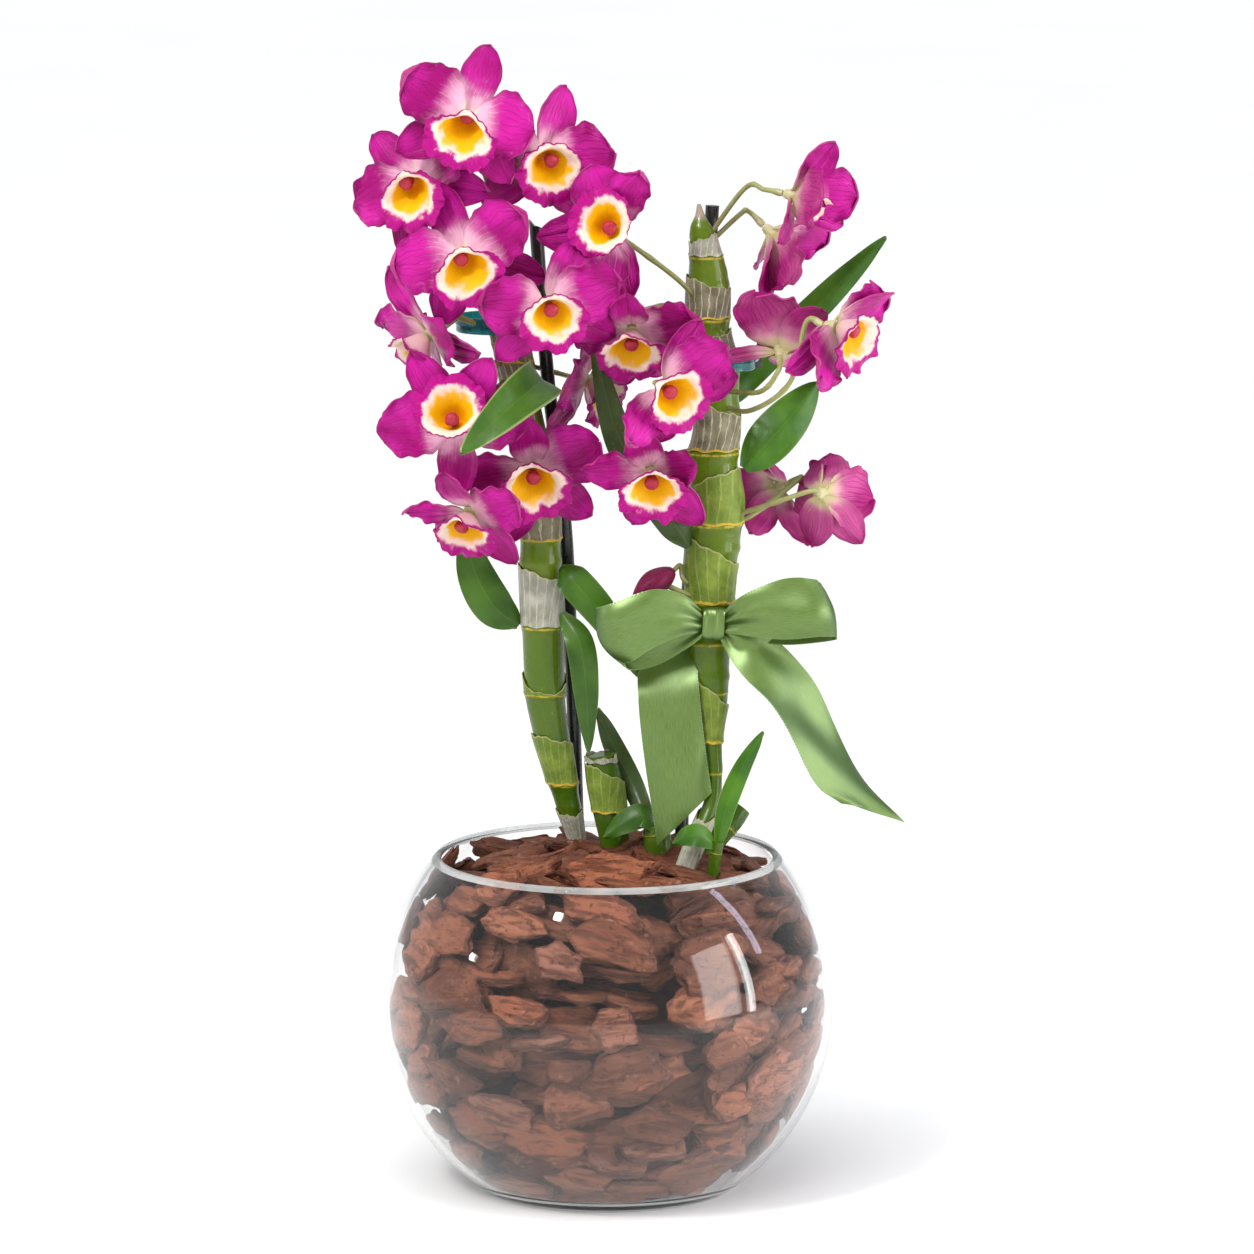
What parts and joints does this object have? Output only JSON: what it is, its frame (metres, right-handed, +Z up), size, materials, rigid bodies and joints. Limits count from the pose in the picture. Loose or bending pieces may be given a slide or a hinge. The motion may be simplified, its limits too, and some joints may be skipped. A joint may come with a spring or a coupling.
{
  "type": "potted dendrobium orchid",
  "caption": "Dendrobium orchid with leafy upright canes and frilled magenta blooms, clipped to stakes, a satin bow on one cane, in a round glass bowl of bark.",
  "frame": {"origin": "centre of the bowl's flat base, on the surface it stands on", "axes": "+Z up along the canes, -Y towards the side that most blooms face, +X to the right seen from that side"},
  "size_m": [0.2424, 0.2, 0.5056],
  "materials": {
    "glass": "clear, polished",
    "bark": "rough pine bark chips",
    "cane": "waxy green stem with dry papery sheaths",
    "leaf": "smooth leathery leaf",
    "petal": "soft magenta tepal, paler towards its middle",
    "lip": "golden throat, cream band and magenta frill",
    "stake": "black, slightly glossy",
    "clip": "translucent blue-green",
    "ribbon": "green satin"
  },
  "bodies": {
    "root": {"glass_bowl": "glass", "bark_bed": "bark", "cane_left": "cane", "cane_right": "cane", "cane_stub_front": "cane", "cane_stubs_back": "cane", "new_shoot": "leaf", "leaf_a": "leaf", "leaf_b": "leaf", "leaf_c": "leaf", "leaf_d": "leaf", "leaf_e": "leaf", "leaf_f": "leaf", "leaf_g": "leaf", "stake_left": "stake", "stake_right": "stake", "clip_left": "clip", "clip_right": "clip", "ribbon_bow": "ribbon", "flower_bud": "petal", "bloom_a_perianth": "petal", "bloom_a_lip": "lip", "bloom_b_perianth": "petal", "bloom_b_lip": "lip", "bloom_c_perianth": "petal", "bloom_c_lip": "lip", "bloom_d_perianth": "petal", "bloom_d_lip": "lip", "bloom_e_perianth": "petal", "bloom_e_lip": "lip", "bloom_f_perianth": "petal", "bloom_f_lip": "lip", "bloom_g_perianth": "petal", "bloom_g_lip": "lip", "bloom_h_perianth": "petal", "bloom_h_lip": "lip", "bloom_i_perianth": "petal", "bloom_i_lip": "lip", "bloom_j_perianth": "petal", "bloom_j_lip": "lip", "bloom_k_perianth": "petal", "bloom_k_lip": "lip", "bloom_l_perianth": "petal", "bloom_l_lip": "lip", "bloom_m_perianth": "petal", "bloom_m_lip": "lip", "bloom_n_perianth": "petal", "bloom_n_lip": "lip", "bloom_o_perianth": "petal", "bloom_o_lip": "lip", "bloom_p_perianth": "petal", "bloom_p_lip": "lip", "bloom_q_perianth": "petal", "bloom_q_lip": "lip", "bloom_r_perianth": "petal", "bloom_r_lip": "lip", "bloom_s_perianth": "petal", "bloom_s_lip": "lip", "bloom_t_perianth": "petal", "bloom_t_lip": "lip"}
  },
  "joints": []
}
